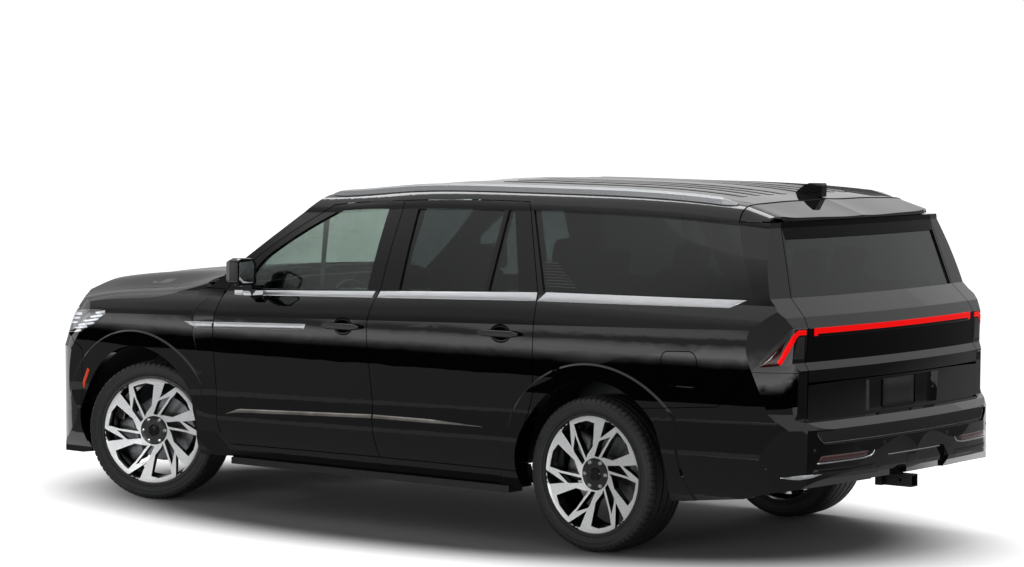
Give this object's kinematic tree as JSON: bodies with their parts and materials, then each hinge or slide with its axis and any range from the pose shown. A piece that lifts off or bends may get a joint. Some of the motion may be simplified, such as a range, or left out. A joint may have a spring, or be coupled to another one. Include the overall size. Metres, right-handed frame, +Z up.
{
  "type": "full-size sport utility vehicle",
  "caption": "Long-wheelbase three-row sport utility vehicle with opening doors, hood, split tailgate, steering and rolling wheels.",
  "frame": {"origin": "on the ground under the middle of the bounding box", "axes": "+X forward, +Y left, +Z up"},
  "size_m": [5.636, 2.3818, 1.9013],
  "materials": {
    "alloy": "machined and lacquered",
    "black_gloss": "gloss",
    "black_plastic": "grained",
    "bright": "satin",
    "glass_dark": "privacy tint",
    "glass_front": "light tint",
    "iron": "as cast",
    "leather_seat": "grained",
    "lens_clear": "clear lens",
    "lens_red": "red lens",
    "paint": "gloss clear coat",
    "rubber_tyre": "moulded rubber",
    "steel": "as forged",
    "structure": "satin chassis paint",
    "tank_plastic": "blow moulded"
  },
  "bodies": {
    "body": {"body_side_left": "paint", "body_side_right": "paint", "roof_panel": "paint", "fixed_glass": "glass_dark", "roof_rails": "bright", "antenna_fin": "black_gloss", "floor_pan": "structure", "engine_bay": "structure", "front_fender_left": "paint", "front_fender_right": "paint", "front_bumper": "paint", "grille": "black_gloss", "headlamps": "lens_clear", "tail_lamps": "lens_red", "rear_bumper": "paint", "running_boards": "black_plastic", "front_seat_left": "leather_seat", "front_seat_right": "leather_seat", "second_row_seat_left": "leather_seat", "second_row_seat_right": "leather_seat", "third_row_bench": "leather_seat", "dashboard": "black_plastic", "frame_rails": "structure", "engine": "iron", "driveline": "steel", "exhaust": "steel", "fuel_tank": "tank_plastic", "suspension_arms": "iron", "rear_knuckles": "iron"},
    "hood": {"hood": "paint"},
    "liftgate": {"liftgate": "paint", "liftgate_glass": "glass_dark", "rear_spoiler": "paint", "light_bar": "lens_red"},
    "lower_tailgate": {"lower_tailgate": "paint"},
    "fuel_door": {"fuel_door": "paint"},
    "steering_wheel": {"steering_wheel": "leather_seat"},
    "front_door_left": {"front_door_left": "paint", "front_door_glass_left": "glass_front"},
    "rear_door_left": {"rear_door_left": "paint", "rear_door_glass_left": "glass_dark"},
    "mirror_left": {"mirror_left": "paint"},
    "steer_left": {"front_knuckle_left": "iron"},
    "front_wheel_left": {"front_wheel_left": "alloy", "front_tyre_left": "rubber_tyre"},
    "rear_wheel_left": {"rear_wheel_left": "alloy", "rear_tyre_left": "rubber_tyre"},
    "front_door_right": {"front_door_right": "paint", "front_door_glass_right": "glass_front"},
    "rear_door_right": {"rear_door_right": "paint", "rear_door_glass_right": "glass_dark"},
    "mirror_right": {"mirror_right": "paint"},
    "steer_right": {"front_knuckle_right": "iron"},
    "front_wheel_right": {"front_wheel_right": "alloy", "front_tyre_right": "rubber_tyre"},
    "rear_wheel_right": {"rear_wheel_right": "alloy", "rear_tyre_right": "rubber_tyre"}
  },
  "joints": [
    {"name": "front_door_left_swing", "type": "hinge", "parent": "body", "child": "front_door_left", "pos_m": [1.2405, 1.019, 0.8], "axis": [0, 0, -1], "range_deg": [0, 68]},
    {"name": "rear_door_left_swing", "type": "hinge", "parent": "body", "child": "rear_door_left", "pos_m": [0.058, 1.019, 0.8], "axis": [0, 0, -1], "range_deg": [0, 70]},
    {"name": "mirror_left_fold", "type": "hinge", "parent": "front_door_left", "child": "mirror_left", "pos_m": [0.938, 1.022, 1.37], "axis": [0, 0, 1], "range_deg": [0, 60]},
    {"name": "steer_left", "type": "hinge", "parent": "body", "child": "steer_left", "pos_m": [1.87, 0.73, 0.405], "axis": [0, 0, 1], "range_deg": [-56, 14]},
    {"name": "front_left_roll", "type": "hinge", "parent": "steer_left", "child": "front_wheel_left", "pos_m": [1.82305, 0.8523, 0.405], "axis": [-0.3584, 0.9336, 0], "continuous": true},
    {"name": "rear_left_roll", "type": "hinge", "parent": "body", "child": "rear_wheel_left", "pos_m": [-1.473, 0.861, 0.405], "axis": [0, 1, 0], "continuous": true},
    {"name": "front_door_right_swing", "type": "hinge", "parent": "body", "child": "front_door_right", "pos_m": [1.2405, -1.019, 0.8], "axis": [0, 0, 1], "range_deg": [0, 68]},
    {"name": "rear_door_right_swing", "type": "hinge", "parent": "body", "child": "rear_door_right", "pos_m": [0.058, -1.019, 0.8], "axis": [0, 0, 1], "range_deg": [0, 70]},
    {"name": "mirror_right_fold", "type": "hinge", "parent": "front_door_right", "child": "mirror_right", "pos_m": [0.938, -1.022, 1.37], "axis": [0, 0, -1], "range_deg": [0, 60]},
    {"name": "steer_right", "type": "hinge", "parent": "body", "child": "steer_right", "pos_m": [1.87, -0.73, 0.405], "axis": [0, 0, 1], "range_deg": [-56, 14]},
    {"name": "front_right_roll", "type": "hinge", "parent": "steer_right", "child": "front_wheel_right", "pos_m": [1.91695, -0.8523, 0.405], "axis": [-0.3584, 0.9336, 0], "continuous": true},
    {"name": "rear_right_roll", "type": "hinge", "parent": "body", "child": "rear_wheel_right", "pos_m": [-1.473, -0.861, 0.405], "axis": [0, 1, 0], "continuous": true},
    {"name": "steering_wheel_turn", "type": "hinge", "parent": "body", "child": "steering_wheel", "pos_m": [0.64, 0.43, 1.12], "axis": [-0.9135, 0, 0.4067], "range_deg": [-840, 210]},
    {"name": "hood_lift", "type": "hinge", "parent": "body", "child": "hood", "pos_m": [1.334, 0, 1.345], "axis": [0, -1, 0], "range_deg": [0, 50]},
    {"name": "liftgate_lift", "type": "hinge", "parent": "body", "child": "liftgate", "pos_m": [-2.252, 0, 1.835], "axis": [0, 1, 0], "range_deg": [0, 80]},
    {"name": "lower_tailgate_drop", "type": "hinge", "parent": "body", "child": "lower_tailgate", "pos_m": [-2.741, 0, 0.75185], "axis": [0, -1, 0], "range_deg": [0, 90]},
    {"name": "fuel_door_swing", "type": "hinge", "parent": "body", "child": "fuel_door", "pos_m": [-1.922, 1.013, 0.985], "axis": [0, 0, -1], "range_deg": [0, 100]}
  ],
  "couplings": [
    {"joint": "steer_right", "follows": "steer_left", "ratio": 1},
    {"joint": "steering_wheel_turn", "follows": "steer_left", "ratio": 15}
  ]
}
